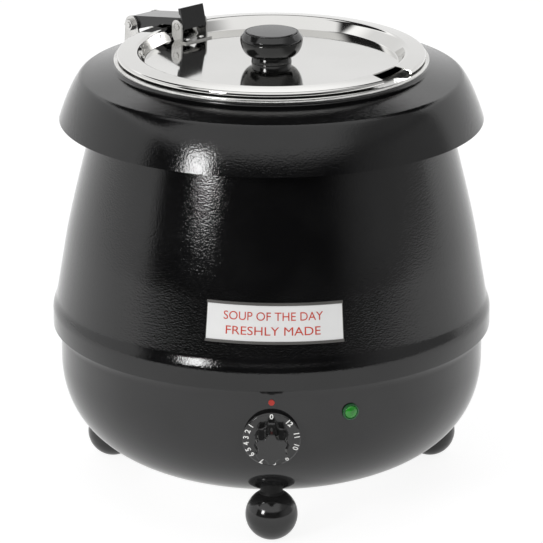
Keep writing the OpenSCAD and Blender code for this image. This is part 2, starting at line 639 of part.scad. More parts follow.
lower_housing();
upper_housing();
collar();
water_pan();
soup_pot();
base_plate();
base_plate_screws();
foot_front();
foot_left();
foot_right();
foot_studs();
foot_saddles();
foot_nuts();
heater_plate();
heating_element();
element_clamps();
clamp_screws();
thermal_cutout();
thermostat_body();
thermostat_screws();
sensor_bulb();
bulb_clip();
capillary_tube();
pilot_lens();
pilot_housing();
pilot_nut();
index_dot();
label_holder();
label_card();
terminal_block();
earth_stud();
cable_gland();
gland_locknut();
wiring();
hinge_base();
hinge_base_screws();
hinge_bolt();
hinge_nut();
hinge_arm();
spacer_sleeve();
lid();
lid_bracket();
lid_bracket_rivets();
hinge_pin();
lid_knob();
knob_cap();
knob_screw();
knob_washer();
dial_knob();
thermostat_shaft();
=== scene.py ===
"""Soup kettle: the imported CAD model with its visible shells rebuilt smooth, its materials,
a plain pale studio and the camera. Metres, in the CAD frame: +Z up, the dial faces -Y."""
import json
from math import acos, atan2, cos, pi, radians, sin, tan

import bmesh
import bpy
from mathutils import Matrix, Vector


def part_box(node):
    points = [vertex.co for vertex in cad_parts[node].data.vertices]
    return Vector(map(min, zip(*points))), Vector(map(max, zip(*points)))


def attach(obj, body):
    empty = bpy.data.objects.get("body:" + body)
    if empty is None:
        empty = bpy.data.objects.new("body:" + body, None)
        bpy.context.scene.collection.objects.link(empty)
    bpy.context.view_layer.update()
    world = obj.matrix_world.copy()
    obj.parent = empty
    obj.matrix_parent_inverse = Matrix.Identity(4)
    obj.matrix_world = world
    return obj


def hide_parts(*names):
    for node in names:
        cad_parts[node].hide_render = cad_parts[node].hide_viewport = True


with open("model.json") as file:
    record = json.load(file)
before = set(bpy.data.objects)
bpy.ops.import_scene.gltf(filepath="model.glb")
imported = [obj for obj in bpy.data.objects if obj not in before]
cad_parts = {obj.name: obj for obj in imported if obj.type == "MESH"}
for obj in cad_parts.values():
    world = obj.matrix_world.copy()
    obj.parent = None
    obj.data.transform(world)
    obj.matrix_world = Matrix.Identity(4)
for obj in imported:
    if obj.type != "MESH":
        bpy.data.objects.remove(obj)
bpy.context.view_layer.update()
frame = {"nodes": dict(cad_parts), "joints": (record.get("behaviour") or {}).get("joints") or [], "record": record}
NODES = frame["nodes"]
MM = 0.001
ROUND = 256             # segments round a big turned shell
SMALL_ROUND = 96        # and round a small turned piece


# ---------------------------------------------------------------- outlines

def v2(*points):
    """Points given in millimetres, as 2-D vectors in metres."""
    return [Vector((x * MM, y * MM)) for x, y in points]


def bez(a, b, c, d, n=20):
    """A cubic curve through a and d, as n spans."""
    out = []
    for i in range(n + 1):
        t = i / n
        u = 1 - t
        out.append(u ** 3 * a + 3 * u * u * t * b + 3 * u * t * t * c + t ** 3 * d)
    return out


def beside(path, t):
    """An open path moved t to its left, with mitred corners."""
    normals = []
    for p, q in zip(path, path[1:]):
        d = (q - p).normalized()
        normals.append(Vector((-d.y, d.x)))
    out = []
    for i, p in enumerate(path):
        a = normals[max(i - 1, 0)]
        b = normals[min(i, len(normals) - 1)]
        out.append(p + t * (a + b) / (1 + a.dot(b)))
    return out


def soften(path, radius, closed=True, least=radians(24), arc=4):
    """The path with its sharp corners rounded."""
    out = []
    n = len(path)
    for i, p in enumerate(path):
        if not closed and i in (0, n - 1):
            out.append(p)
            continue
        a = path[i - 1] - p
        b = path[(i + 1) % n] - p
        if a.length < 1e-9 or b.length < 1e-9:
            continue
        turn = pi - acos(max(-1, min(1, a.normalized().dot(b.normalized()))))
        if turn < least:
            out.append(p)
            continue
        reach = min(radius * tan(turn / 2), 0.45 * a.length, 0.45 * b.length)
        start = p + a.normalized() * reach
        end = p + b.normalized() * reach
        for k in range(arc + 1):
            t = k / arc
            out.append(start * (1 - t) ** 2 + p * 2 * t * (1 - t) + end * t * t)
    return out


def shell_loop(path, thickness, radius):
    """The closed section of a shell that lies to the left of a path."""
    return soften(path + beside(path, thickness)[::-1], radius)


# ---------------------------------------------------------------- meshes

def mesh_from(name, verts, faces):
    mesh = bpy.data.meshes.new(name)
    mesh.from_pydata([tuple(v) for v in verts], [], faces)
    mesh.update()
    bm = bmesh.new()
    bm.from_mesh(mesh)
    bmesh.ops.recalc_face_normals(bm, faces=bm.faces)
    bm.to_mesh(mesh)
    bm.free()
    return mesh


def lathe(name, section, matrix=None, closed=True, segments=ROUND):
    """A section in [radius, height] turned about Z. An open one starts and ends on the axis."""
    verts, rings, faces = [], [], []
    for p in section:
        if p.x < 1e-7:
            rings.append([len(verts)])
            verts.append(Vector((0, 0, p.y)))
            continue
        rings.append(list(range(len(verts), len(verts) + segments)))
        for k in range(segments):
            a = 2 * pi * k / segments
            verts.append(Vector((p.x * cos(a), p.x * sin(a), p.y)))
    pairs = list(zip(rings, rings[1:]))
    if closed:
        pairs.append((rings[-1], rings[0]))
    for a, b in pairs:
        for k in range(segments):
            m = (k + 1) % segments
            quad = [a[k % len(a)], a[m % len(a)], b[m % len(b)], b[k % len(b)]]
            face = [v for i, v in enumerate(quad) if v not in quad[:i]]
            if len(face) > 2:
                faces.append(face)
    if matrix:
        verts = [matrix @ v for v in verts]
    return mesh_from(name, verts, faces)


def cut(obj, tool):
    """Subtracts a tool mesh from an object and applies the result."""
    helper = bpy.data.objects.new("cutter", tool)
    bpy.context.scene.collection.objects.link(helper)
    mod = obj.modifiers.new("cut", "BOOLEAN")
    mod.operation = "DIFFERENCE"
    mod.solver = "EXACT"
    mod.object = helper
    graph = bpy.context.evaluated_depsgraph_get()
    done = bpy.data.meshes.new_from_object(obj.evaluated_get(graph))
    obj.modifiers.clear()
    done.name = obj.data.name + "_cut"
    obj.data = done
    bpy.data.objects.remove(helper)


def prism(name, outline, low, high, matrix):
    """A flat outline in [x, y] raised from low to high, then placed by a matrix."""
    n = len(outline)
    verts = [matrix @ Vector((p.x, p.y, z)) for z in (low, high) for p in outline]
    faces = [list(range(n))[::-1], list(range(n, 2 * n))]
    faces += [[i, (i + 1) % n, n + (i + 1) % n, n + i] for i in range(n)]
    return mesh_from(name, verts, faces)


# ---------------------------------------------------------------- materials

def add_node(tree, kind, inputs=None, **settings):
    """A node with its settings; an input is either a value or the socket that feeds it."""
    node = tree.nodes.new(kind)
    for key, value in settings.items():
        setattr(node, key, value)
    for key, value in (inputs or {}).items():
        if isinstance(value, bpy.types.NodeSocket):
            tree.links.new(value, node.inputs[key])
        else:
            node.inputs[key].default_value = value
    return node


class Nodes:
    """A material's nodes, with the usual textures made in one call each."""

    def __init__(self, name):
        self.material = bpy.data.materials.new(name)
        self.material.use_nodes = True
        self.tree = self.material.node_tree
        self.shader = self.tree.nodes["Principled BSDF"]
        coords = self.tree.nodes.new("ShaderNodeTexCoord")
        self.place = coords.outputs["Object"]

    def add(self, kind, inputs=None, **settings):
        return add_node(self.tree, kind, inputs, **settings)

    def link(self, out, socket):
        self.tree.links.new(out, self.shader.inputs[socket])

    def noise(self, scale, detail=3, stretch=None):
        place = self.place
        if stretch:
            place = self.add("ShaderNodeMapping", {"Vector": place, "Scale": stretch}).outputs[0]
        return self.add("ShaderNodeTexNoise", {"Vector": place, "Scale": scale,
                        "Detail": detail}).outputs["Fac"]

    def spread(self, fac, low, high, near=0.3, far=0.7):
        return self.add("ShaderNodeMapRange", {"Value": fac, "From Min": near, "From Max": far,
                        "To Min": low, "To Max": high}).outputs["Result"]

    def tint(self, fac, one, two):
        ramp = self.add("ShaderNodeValToRGB", {"Fac": fac})
        ramp.color_ramp.elements[0].position = 0.35
        ramp.color_ramp.elements[0].color = (*one, 1)
        ramp.color_ramp.elements[1].position = 0.65
        ramp.color_ramp.elements[1].color = (*two, 1)
        return ramp.outputs["Color"]

    def bump(self, height, distance, strength=1.0, under=None):
        inputs = {"Height": height, "Distance": distance, "Strength": strength}
        if under:
            inputs["Normal"] = under
        return self.add("ShaderNodeBump", inputs).outputs["Normal"]


def shade(color, factor):
    return tuple(c * factor for c in color)


def finish(name, color, rough, metallic=0.0, spread=0.05, grain=((900, 0.00001),),
           patch=18, stretch=None, vary=0.12, ior=1.5):
    """A general procedural finish: patchy roughness, a slight tint and fine relief."""
    n = Nodes(name)
    s = n.shader.inputs
    s["Metallic"].default_value = metallic
    s["IOR"].default_value = ior
    patches = n.noise(patch, 4)
    n.link(n.spread(patches, max(rough - spread, 0.01), rough + spread), "Roughness")
    n.link(n.tint(n.noise(patch * 1.7, 3), shade(color, 1 - vary), shade(color, 1 + vary)),
           "Base Color")
    normal = None
    for scale, distance in grain:
        normal = n.bump(n.noise(scale, 2, stretch), distance, under=normal)
    n.link(normal, "Normal")
    return n.material


def orange_peel(name):
    """Gloss paint that has dried in small round blisters, which break up a reflection."""
    n = Nodes(name)
    n.shader.inputs["IOR"].default_value = 1.5
    n.link(n.tint(n.noise(30, 3), (0.003, 0.003, 0.0032), (0.005, 0.005, 0.0052)), "Base Color")
    n.link(n.spread(n.noise(260, 2), 0.06, 0.13), "Roughness")
    blisters = n.add("ShaderNodeTexVoronoi", {"Vector": n.place, "Scale": 760.0},
                     feature="SMOOTH_F1").outputs["Distance"]
    first = n.bump(blisters, 0.00008, 0.6)
    second = n.bump(n.noise(950, 2), 0.0001, 0.75, under=first)
    n.link(second, "Normal")
    return n.material


def polished_steel(name):
    """Mirror-polished stainless steel with a faint pressing wave, haze and fine wipe marks."""
    n = Nodes(name)
    n.shader.inputs["Metallic"].default_value = 1.0
    n.link(n.tint(n.noise(9, 3), (0.63, 0.625, 0.61), (0.68, 0.675, 0.66)), "Base Color")
    haze = n.noise(14, 5)
    n.link(n.spread(haze, 0.03, 0.085), "Roughness")
    wave = n.bump(n.noise(7, 1), 0.0006, 0.35)
    wipes = n.bump(n.noise(160, 2, (1.0, 14.0, 1.0)), 0.000004, 0.6, under=wave)
    n.link(wipes, "Normal")
    return n.material


def lamp_lens(name):
    """Translucent green lens with a moulded prism pattern."""
    n = Nodes(name)
    s = n.shader.inputs
    s["IOR"].default_value = 1.49
    s["Coat Weight"].default_value = 0.2
    s["Coat Roughness"].default_value = 0.04
    n.link(n.tint(n.noise(160, 2), (0.010, 0.17, 0.012), (0.016, 0.25, 0.018)), "Base Color")
    n.link(n.spread(n.noise(90, 2), 0.12, 0.24), "Roughness")
    prisms = n.add("ShaderNodeTexVoronoi", {"Vector": n.place, "Scale": 900.0}).outputs["Distance"]
    n.link(n.bump(prisms, 0.00012, 0.4), "Normal")
    return n.material


M = {
    "enamel": finish("gloss_black_enamel", (0.011, 0.011, 0.0113), 0.1, spread=0.03,
                     grain=((55, 0.00006), (420, 0.00001))),
    "paint": orange_peel("textured_black_paint"),
    "mirror": polished_steel("polished_steel"),
    "pot": finish("pot_steel", (0.66, 0.655, 0.64), 0.2, 1.0, 0.05,
                  ((500, 0.000012), (90, 0.00002)), stretch=(1, 1, 12)),
    "satin": finish("satin_steel", (0.60, 0.595, 0.58), 0.26, 1.0, 0.07,
                    ((500, 0.000012), (90, 0.00002)), stretch=(1, 1, 12)),
    "phenolic": finish("black_plastic", (0.010, 0.010, 0.010), 0.11, spread=0.04,
                       grain=((140, 0.00002), (900, 0.000006)), ior=1.56),
    "cap": finish("knob_cap_plastic", (0.018, 0.018, 0.018), 0.2, spread=0.05,
                  grain=((500, 0.00002),), ior=1.56),
    "aluminium": finish("aluminium", (0.7, 0.7, 0.71), 0.38, 1.0, 0.08, ((240, 0.00004),)),
    "brass": finish("brass", (0.72, 0.50, 0.2), 0.25, 1.0, 0.08, ((400, 0.00001),)),
    "lens": lamp_lens("pilot_green"),
    "red": finish("index_red", (0.40, 0.016, 0.006), 0.35, grain=((700, 0.00002),)),
    "holder": finish("holder_grey", (0.075, 0.072, 0.068), 0.42, grain=((600, 0.00002),)),
    "card": finish("card_white", (0.70, 0.70, 0.695), 0.45, grain=((1500, 0.000008),), vary=0.02),
    "ink": finish("card_ink", (0.48, 0.035, 0.012), 0.5, grain=((1500, 0.000006),), vary=0.1),
    "lens_rim": finish("pilot_rim", (0.010, 0.075, 0.022), 0.22, grain=((700, 0.00002),)),
    "rubber": finish("neck_rubber", (0.006, 0.006, 0.006), 0.5, grain=((700, 0.00004),), ior=1.28),
    "numbers": finish("dial_numbers", (0.82, 0.82, 0.80), 0.4, grain=((1500, 0.000008),)),
    "ivory": finish("ivory_plastic", (0.62, 0.58, 0.46), 0.4, grain=((500, 0.00003),)),
    "leads": finish("lead_insulation", (0.22, 0.14, 0.09), 0.45, grain=((700, 0.00003),)),
}


def smooth(mesh, sharp):
    mesh.shade_smooth()
    mesh.set_sharp_from_angle(angle=radians(sharp))


def add_piece(name, mesh, look, body, node=None, sharp=38):
    """Links a mesh as a piece that rides on a body and may stand for a CAD node."""
    obj = bpy.data.objects.new(name, mesh)
    bpy.context.scene.collection.objects.link(obj)
    mesh.materials.append(M[look])
    smooth(mesh, sharp)
    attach(obj, body)
    if node:
        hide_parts(node)
    return obj


# ---------------------------------------------------------------- body shells

def top_of(node):
    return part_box(node)[1]


def low_of(node):
    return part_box(node)[0]


WALL = 1.2 * MM
BELLY_R = top_of("upper_housing").x
LIP_Z = top_of("collar").z
FLOOR_Z = low_of("lower_housing").z
BAND_Z = low_of("upper_housing").z
BAND_TOP = BAND_Z + 17.5 * MM
BOWL_R = BELLY_R - 6 * MM
SEAT_R = top_of("water_pan").x + 0.2 * MM
RIM_R = top_of("soup_pot").x


def bell_path():
    """Outer outline of the upper housing, from the belly band to its hidden seat."""
    b = [Vector((BELLY_R - 1.4 * MM, BAND_Z + 0.1 * MM)), Vector((BELLY_R, BAND_Z))]
    b += bez(Vector((BELLY_R, BAND_TOP - 5.2 * MM)), Vector((BELLY_R, BAND_TOP - 0.5 * MM)),
             Vector((BELLY_R - 2.2 * MM, BAND_TOP + 2.5 * MM)), Vector((0.1674, 0.158)), 14)
    flare = bez(*v2((167.4, 158), (165.6, 167.5), (162.9, 184), (160, 201)))[1:]
    waist = bez(*v2((160, 201), (156.5, 222), (146.5, 262), (137, 298)), n=30)
    seat = v2((137, 298), (132, 316))
    throat = bez(seat[0], seat[1], Vector((SEAT_R, 0.320)), Vector((SEAT_R, LIP_Z - 10 * MM)))
    return (b + flare + waist[1:] + throat[1:]
            + [Vector((SEAT_R, LIP_Z - 2 * WALL)), Vector((SEAT_R - 4 * MM, LIP_Z - 2 * WALL))])


def bell_radius(z):
    path = bell_path()
    for p, q in zip(path, path[1:]):
        if p.y <= z <= q.y:
            return p.x + (q.x - p.x) * (z - p.y) / (q.y - p.y)
    raise ValueError(z)


def build_body():
    bowl = bez(Vector((0.104, FLOOR_Z)), Vector((0.128, FLOOR_Z + 7.5 * MM)),
               Vector((BOWL_R, FLOOR_Z + 27 * MM)), Vector((BOWL_R, 0.108)), 40)
    rim_z = BAND_TOP - 7 * MM
    lip = bez(Vector((BOWL_R, BAND_Z - 8 * MM)), Vector((BOWL_R, BAND_Z - 5 * MM)),
              Vector((BOWL_R + 0.8 * MM, BAND_Z - 3 * MM)), Vector((BOWL_R + 2 * MM, BAND_Z)), 10)
    bowl = ([Vector((0.092, FLOOR_Z))] + bowl + lip
            + [Vector((BOWL_R + 2 * MM, rim_z)), Vector((BELLY_R - 1.4 * MM, rim_z))])
    add_piece("lower_shell", lathe("lower_shell", shell_loop(bowl, WALL, 1.2 * MM)),
              "enamel", "body", "lower_housing")
    add_piece("upper_shell", lathe("upper_shell", shell_loop(bell_path(), WALL, 0.8 * MM)),
              "paint", "body", "upper_housing")

    up_r = RIM_R - 2.6 * MM
    side = bez(*v2((163.3, 298.5), (159.5, 310.5), (153.5, 325.5), (147.6, 332)), n=28)
    roof = (side + v2((145.8, 333.2)) + [Vector((up_r + 1.6 * MM, 0.3391)),
            Vector((up_r, 0.3404)), Vector((up_r, LIP_Z)), Vector((SEAT_R - 5.4 * MM, LIP_Z))])
    roof = soften(roof, 4 * MM, closed=False, least=radians(20), arc=6)
    inner = beside(roof, WALL)
    # The free lower edge is rolled inwards into a round hem
    hem_r = 1.5 * MM
    hem = [inner[0] + Vector((-hem_r * 0.3 + hem_r * cos(a) - hem_r * 0.7, hem_r * sin(a) + hem_r))
           for a in (radians(-60 - 30 * k) for k in range(7))]
    loop = roof + inner[::-1][:-1] + hem[::-1]
    add_piece("collar_shell", lathe("collar_shell", loop), "paint", "body", "collar", 50)

    pan_r = top_of("water_pan").x - 4.2 * MM
    pan_z = low_of("water_pan").z
    pan = (bez(Vector((pan_r - 12 * MM, pan_z)), Vector((pan_r - 5 * MM, pan_z)),
               Vector((pan_r, pan_z + 5 * MM)), Vector((pan_r, pan_z + 12 * MM)), 12)
           + [Vector((pan_r, LIP_Z - 2 * WALL)), Vector((SEAT_R - 0.2 * MM, LIP_Z - 2 * WALL))])
    pan = [Vector((0, pan_z))] + pan
    inside = beside(pan, WALL)
    inside[0].x = 0
    add_piece("pan_shell", lathe("pan_shell", soften(pan + inside[::-1], 1 * MM, False),
              closed=False, segments=160), "satin", "body", "water_pan")

    pot_r = 105 * MM
    rim_r = RIM_R - 0.8 * MM
    pot_z = low_of("soup_pot").z
    top = top_of("soup_pot").z
    t = 1 * MM
    pot = ([Vector((0, pot_z))]
           + bez(Vector((pot_r - 18 * MM, pot_z)), Vector((pot_r - 8 * MM, pot_z)),
                 Vector((pot_r, pot_z + 8 * MM)), Vector((pot_r, pot_z + 18 * MM)), 16)
           + [Vector((pot_r, top - t)), Vector((rim_r - t, top - t)),
              Vector((rim_r - t, top - 2.8 * MM)), Vector((rim_r, top - 2.8 * MM)),
              Vector((rim_r, top)), Vector((pot_r - t, top)), Vector((pot_r - t, pot_z + 18 * MM))]
           + [p + Vector((0, t)) for p in
              bez(Vector((pot_r - t, pot_z + 17 * MM)), Vector((pot_r - t, pot_z + 8 * MM)),
                  Vector((pot_r - 9 * MM, pot_z)), Vector((pot_r - 19 * MM, pot_z)), 16)]
           + [Vector((0, pot_z + t))])
    add_piece("pot", lathe("pot", soften(pot, 1.1 * MM, False), closed=False, segments=ROUND),
              "pot", "body", "soup_pot")


# ---------------------------------------------------------------- feet

def build_feet():
    """Each foot as a ball with a small flat and a faint parting line, and its rubber neck."""
    for node in ("foot_front", "foot_left", "foot_right"):
        low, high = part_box(node)
        r = (high.x - low.x) / 2
        middle = (low + high) / 2
        ball_z = r - 0.4 * MM
        flat = 4 * MM
        neck = 8.5 * MM
        section = [Vector((0, 0)), Vector((flat, 0))]
        start = -pi / 2 + 0.2
        end = acos(neck / r)
        for k in range(41):
            a = start + (end - start) * k / 40
            groove = 0.12 * MM if k == 17 else 0
            section.append(Vector(((r - groove) * cos(a), ball_z + (r - groove) * sin(a))))
        top = ball_z + r * sin(end)
        section += [Vector((neck - 0.5 * MM, top)), Vector((0, top))]
        place = Matrix.Translation((middle.x, middle.y, 0))
        ball = lathe(node + "_ball", soften(section, 1.2 * MM, False), place, False, SMALL_ROUND)
        add_piece(node + "_ball", ball, "phenolic", "body", node)
        sleeve = [Vector((0, top - 1 * MM)), Vector((neck + 1.5 * MM, top - 1 * MM)),
                  Vector((neck, top + 1.2 * MM)), Vector((neck, high.z)), Vector((0, high.z))]
        add_piece(node + "_neck", lathe(node + "_neck", soften(sleeve, 0.8 * MM, False), place,
                  False, SMALL_ROUND), "rubber", "body")


# ---------------------------------------------------------------- lid and knob

CREST_Z = LIP_Z + 6.7 * MM
DISC_Z = CREST_Z - 9.3 * MM
DISC_R = 97.5 * MM
LID_R = 118.3 * MM
NOTCH_AZ = radians(-36)     # the ladle notch, to the right of the knob and in front of it


def build_lid():
    a = Vector
    mm = MM

    def step(out, up):
        return a((DISC_R + out * mm, DISC_Z + up * mm))

    def crest(out, down):
        return a((DISC_R + out * mm, CREST_Z - down * mm))

    def edge(inward, down):
        return a((LID_R - inward * mm, CREST_Z - down * mm))

    # The disc, the step up from it, the crest, the sloping flange and its rolled edge
    top = [a((0, DISC_Z))]
    top += bez(step(-0.9, 0), step(-0.2, 0), step(0.1, 0.25), step(0.4, 0.8), 6)
    top += bez(crest(4.2, 1.7), crest(5.2, 0.1), crest(6.8, -0.3), crest(8.5, 0), 12)
    top += bez(crest(8.5, 0), edge(8.5, 0.4), edge(5, 0.9), edge(1.9, 1.3), 10)[1:]
    top += bez(edge(1.9, 1.3), edge(0.7, 1.45), edge(0, 2.1), edge(0, 4.4), 10)[1:]
    under = beside(top, -0.9 * mm)
    under[0].x = 0
    lid = add_piece("lid_shell", lathe("lid_shell", soften(top + under[::-1], 0.4 * mm, False),
                    closed=False, segments=360), "mirror", "lid", "lid", 30)
    notch = v2((103.8, -15), (130, -20.5), (130, 20.5), (103.8, 15))
    turn = Matrix.Rotation(NOTCH_AZ, 4, "Z")
    cut(lid, prism("notch", notch, DISC_Z - 5 * mm, CREST_Z + 9 * mm, turn))
    smooth(lid.data, 30)

    knob_r = top_of("lid_knob").x
    h = 24 * mm
    neck = 15.35 * mm
    cap = 19.6 * mm
    outline = [a((0, 0)), a((neck + 0.3 * mm, 0)), a((neck, 1.2 * mm)), a((neck, 4.4 * mm))]
    outline += bez(a((neck, 4.5 * mm)), a((neck + 5.1 * mm, 5 * mm)),
                   a((knob_r - 0.2 * mm, 11 * mm)), a((knob_r, h - 6.4 * mm)), 16)
    outline += [a((knob_r - 0.4 * mm, h - 4.4 * mm)), a((cap + 1.5 * mm, h - 0.8 * mm)),
                a((cap + 0.9 * mm, h - 0.6 * mm)), a((cap + 0.2 * mm, h - 1.1 * mm)),
                a((cap + 0.1 * mm, h - 3 * mm)), a((0, h - 3 * mm))]
    up = Matrix.Translation((0, 0, DISC_Z))
    add_piece("knob", lathe("knob", soften(outline, 0.5 * mm, False), up, False, 128),
              "phenolic", "lid", "lid_knob", 30)
    disc = [a((0, h - 3 * mm)), a((cap - 0.25 * mm, h - 3 * mm)),
            a((cap - 0.25 * mm, h - 0.5 * mm)), a((cap - 1 * mm, h)), a((0, h))]
    add_piece("knob_disc", lathe("knob_disc", soften(disc, 0.4 * mm, False), up, False, 128),
              "cap", "lid", "knob_cap", 30)


# ---------------------------------------------------------------- CAD nodes that stay

LOOK_OF_SLOT = {
    "gloss_black_enamel": "enamel", "textured_black_paint": "paint", "polished_steel": "mirror",
    "satin_steel": "satin", "black_plastic": "phenolic", "aluminium": "aluminium",
    "brass": "brass", "pilot_green": "lens", "index_red": "red", "holder_grey": "holder",
    "card_white": "card", "ivory_plastic": "ivory", "lead_insulation": "leads",
}
BEVELLED = {"hinge_arm": 0.5, "hinge_base": 0.35, "lid_bracket": 0.35, "hinge_nut": 0.4,
            "hinge_bolt": 0.4, "cable_gland": 0.6, "terminal_block": 0.8, "pilot_lens": 0.15}


def dress_cad():
    slots = {s["node"]: s["material_slot"] for s in frame["record"]["subparts"]}
    for name, obj in NODES.items():
        obj.data.materials.clear()
        obj.data.materials.append(M[LOOK_OF_SLOT[slots[name]]])
        for face in obj.data.polygons:
            face.material_index = 0
        smooth(obj.data, 28)
        if name in BEVELLED:
            bevel = obj.modifiers.new("edges", "BEVEL")
            bevel.width = BEVELLED[name] * MM
            bevel.segments = 2
            bevel.limit_method = "ANGLE"
            bevel.angle_limit = radians(35)
            bevel.harden_normals = True


# ---------------------------------------------------------------- dial

DIAL_JOINT = next(j for j in frame["joints"] if j["name"] == "dial_turn")
DIAL_AT = Vector(DIAL_JOINT["pos_m"])
DIAL_OUT = -Vector(DIAL_JOINT["axis"])
DIAL_FRAME = Matrix.Translation(DIAL_AT) @ Matrix.Rotation(
    pi / 2 + atan2(-DIAL_OUT.z, -DIAL_OUT.y), 4, "X")
LETTER_RISE = 0.05 * MM
# Degrees from the 0 at the top, anticlockwise as seen from the front
DIAL_MARKS = {0: 0, 1: 53, 2: 68.5, 3: 84, 4: 99.5, 5: 115, 6: 130, 7: 157, 8: 186, 9: 216,
              10: 251, 11: 281, 12: 315}


def text_mesh(name, words, height, width=None, bold=0.0):
    """Flat lettering centred on the origin in XY, of that capital height, a little raised."""
    curve = bpy.data.curves.new(name, "FONT")
    curve.body = words
    curve.extrude = 0.5
    curve.offset = bold
    curve.resolution_u = 6
    obj = bpy.data.objects.new(name, curve)
    bpy.context.scene.collection.objects.link(obj)
    graph = bpy.context.evaluated_depsgraph_get()
    mesh = bpy.data.meshes.new_from_object(obj.evaluated_get(graph))
    bpy.data.objects.remove(obj)
    bpy.data.curves.remove(curve)
    xs = [v.co.x for v in mesh.vertices]
    ys = [v.co.y for v in mesh.vertices]
    mid = Vector(((min(xs) + max(xs)) / 2, (min(ys) + max(ys)) / 2))
    scale = height / (max(ys) - min(ys))
    across = width / (max(xs) - min(xs)) if width else scale
    for v in mesh.vertices:
        v.co = Vector(((v.co.x - mid.x) * across, (v.co.y - mid.y) * scale,
                       v.co.z * LETTER_RISE))
    mesh.name = name
    return mesh


def polar(name, levels, radius, segments, matrix):
    """Closed solid through rings: each level is (height, radius factor, inset)."""
    verts, faces = [], []
    for z, factor, inset in levels:
        for k in range(segments):
            a = 2 * pi * k / segments
            r = radius(a) * factor - inset
            verts.append(matrix @ Vector((r * cos(a), r * sin(a), z)))
    for i in range(len(levels) - 1):
        for k in range(segments):
            m = (k + 1) % segments
            faces.append([i * segments + k, i * segments + m,
                          (i + 1) * segments + m, (i + 1) * segments + k])
    for ring, z in ((0, levels[0][0]), (len(levels) - 1, levels[-1][0])):
        middle = len(verts)
        verts.append(matrix @ Vector((0, 0, z)))
        for k in range(segments):
            faces.append([ring * segments + k, ring * segments + (k + 1) % segments, middle])
    return mesh_from(name, verts, faces)


def build_dial():
    low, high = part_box("dial_knob")
    dial_r = (high.x - low.x) / 2
    face = 4 * MM
    skirt = v2((0, 1.5)) + [Vector((dial_r - 0.6 * MM, 1.5 * MM)), Vector((dial_r, 2.1 * MM)),
                            Vector((dial_r, face - 0.9 * MM)),
                            Vector((dial_r - 0.9 * MM, face)), Vector((0, face))]
    add_piece("dial_skirt", lathe("dial_skirt", soften(skirt, 0.4 * MM, False), DIAL_FRAME,
              False, 160), "phenolic", "dial", "dial_knob", 30)

    grip = 12.7 * MM
    flute = 5 * MM
    centre = grip - 2.5 * MM + flute

    def lobed(a):
        """Radius of the grip at an angle: six lobes, one at the top, with round flutes between."""
        off = (a + radians(30)) % radians(60) - radians(30)
        reach = centre * sin(off)
        if abs(reach) >= flute:
            return grip
        hollow = centre * cos(off) - (flute ** 2 - reach ** 2) ** 0.5
        k = 0.5 * MM
        return -k * 0.5 * ((((grip - hollow) / k) ** 2 + 1) ** 0.5) + (grip + hollow) / 2

    top = face + 17 * MM
    edge = 0.9 * MM
    levels = [(face - 0.2 * MM, 1.0, -1.6 * MM), (face + 0.5 * MM, 1.0, -0.9 * MM),
              (face + 1.4 * MM, 1.0, -0.35 * MM), (face + 3 * MM, 1.0, 0), (top - edge, 0.985, 0)]
    levels += [(top - edge + edge * sin(a), 0.985, edge * (1 - cos(a)))
               for a in (radians(18 * k) for k in range(1, 6))]
    levels += [(top - 0.05 * MM, 0.7, 0), (top - 0.12 * MM, 0.3, 0)]
    add_piece("dial_grip", polar("dial_grip", levels, lobed, 240, DIAL_FRAME), "phenolic",
              "dial", sharp=40)

    for number, degrees in DIAL_MARKS.items():
        mesh = text_mesh("dial_number_%d" % number, str(number), 4.2 * MM, bold=0.022)
        turn = Matrix.Rotation(radians(degrees), 4, "Z") @ Matrix.Translation(
            (0, 19.2 * MM, face + 0.02 * MM))
        mesh.transform(DIAL_FRAME @ turn)
        add_piece("dial_number_%d" % number, mesh, "numbers", "dial")


def build_lamp():
    azimuth, height = radians(-69), 0.113
    lamp = (Matrix.Translation((BOWL_R * cos(azimuth), BOWL_R * sin(azimuth), height))
            @ Matrix.Rotation(azimuth, 4, "Z") @ Matrix.Rotation(pi / 2, 4, "Y"))
    rim = v2((5.0, 0.2), (6.5, 0.2), (6.5, 1.1), (6.1, 1.9), (5.4, 2.1), (5.0, 1.5))
    add_piece("lamp_rim", lathe("lamp_rim", soften(rim, 0.3 * MM), lamp, True, 96),
              "lens_rim", "body", "pilot_lens")
    dome = v2((0, 0.3), (4.9, 0.3), (4.9, 1.4)) + bez(*v2((4.8, 1.7), (3.6, 2.6), (1.8, 3.05),
                                                         (0, 3.1)), n=10)
    dome[-1].x = 0
    add_piece("lamp_dome", lathe("lamp_dome", dome, lamp, False, 96), "lens", "body")


# ---------------------------------------------------------------- label

LABEL_LOW, LABEL_HIGH = 172 * MM, 199.4 * MM
LABEL_AZ = radians(-90 + 0.9)
LABEL_HALF = radians(35.8 / 2)
LABEL_ROLL = radians(0.73)


def label_place(along, z, out):
    """A point on the bent label: along its arc in radians, at height z, out from the wall."""
    r = bell_radius(z) + 0.15 * MM + out
    a = LABEL_AZ + along
    middle = Vector((0, 0, (LABEL_LOW + LABEL_HIGH) / 2))
    p = Vector((r * cos(a), r * sin(a), z))
    return middle + Matrix.Rotation(LABEL_ROLL, 3, "Y") @ (p - middle)


def bent_strip(name, section, half, steps=48):
    """A section in [out, height] carried round the arc, closed at both ends."""
    n = len(section)
    verts, faces = [], []
    for i in range(steps + 1):
        along = -half + 2 * half * i / steps
        verts += [label_place(along, p.y, p.x) for p in section]
    for i in range(steps):
        for k in range(n):
            m = (k + 1) % n
            faces.append([i * n + k, i * n + m, (i + 1) * n + m, (i + 1) * n + k])
    faces.append(list(range(n)))
    faces.append([steps * n + k for k in range(n)][::-1])
    return mesh_from(name, verts, faces)


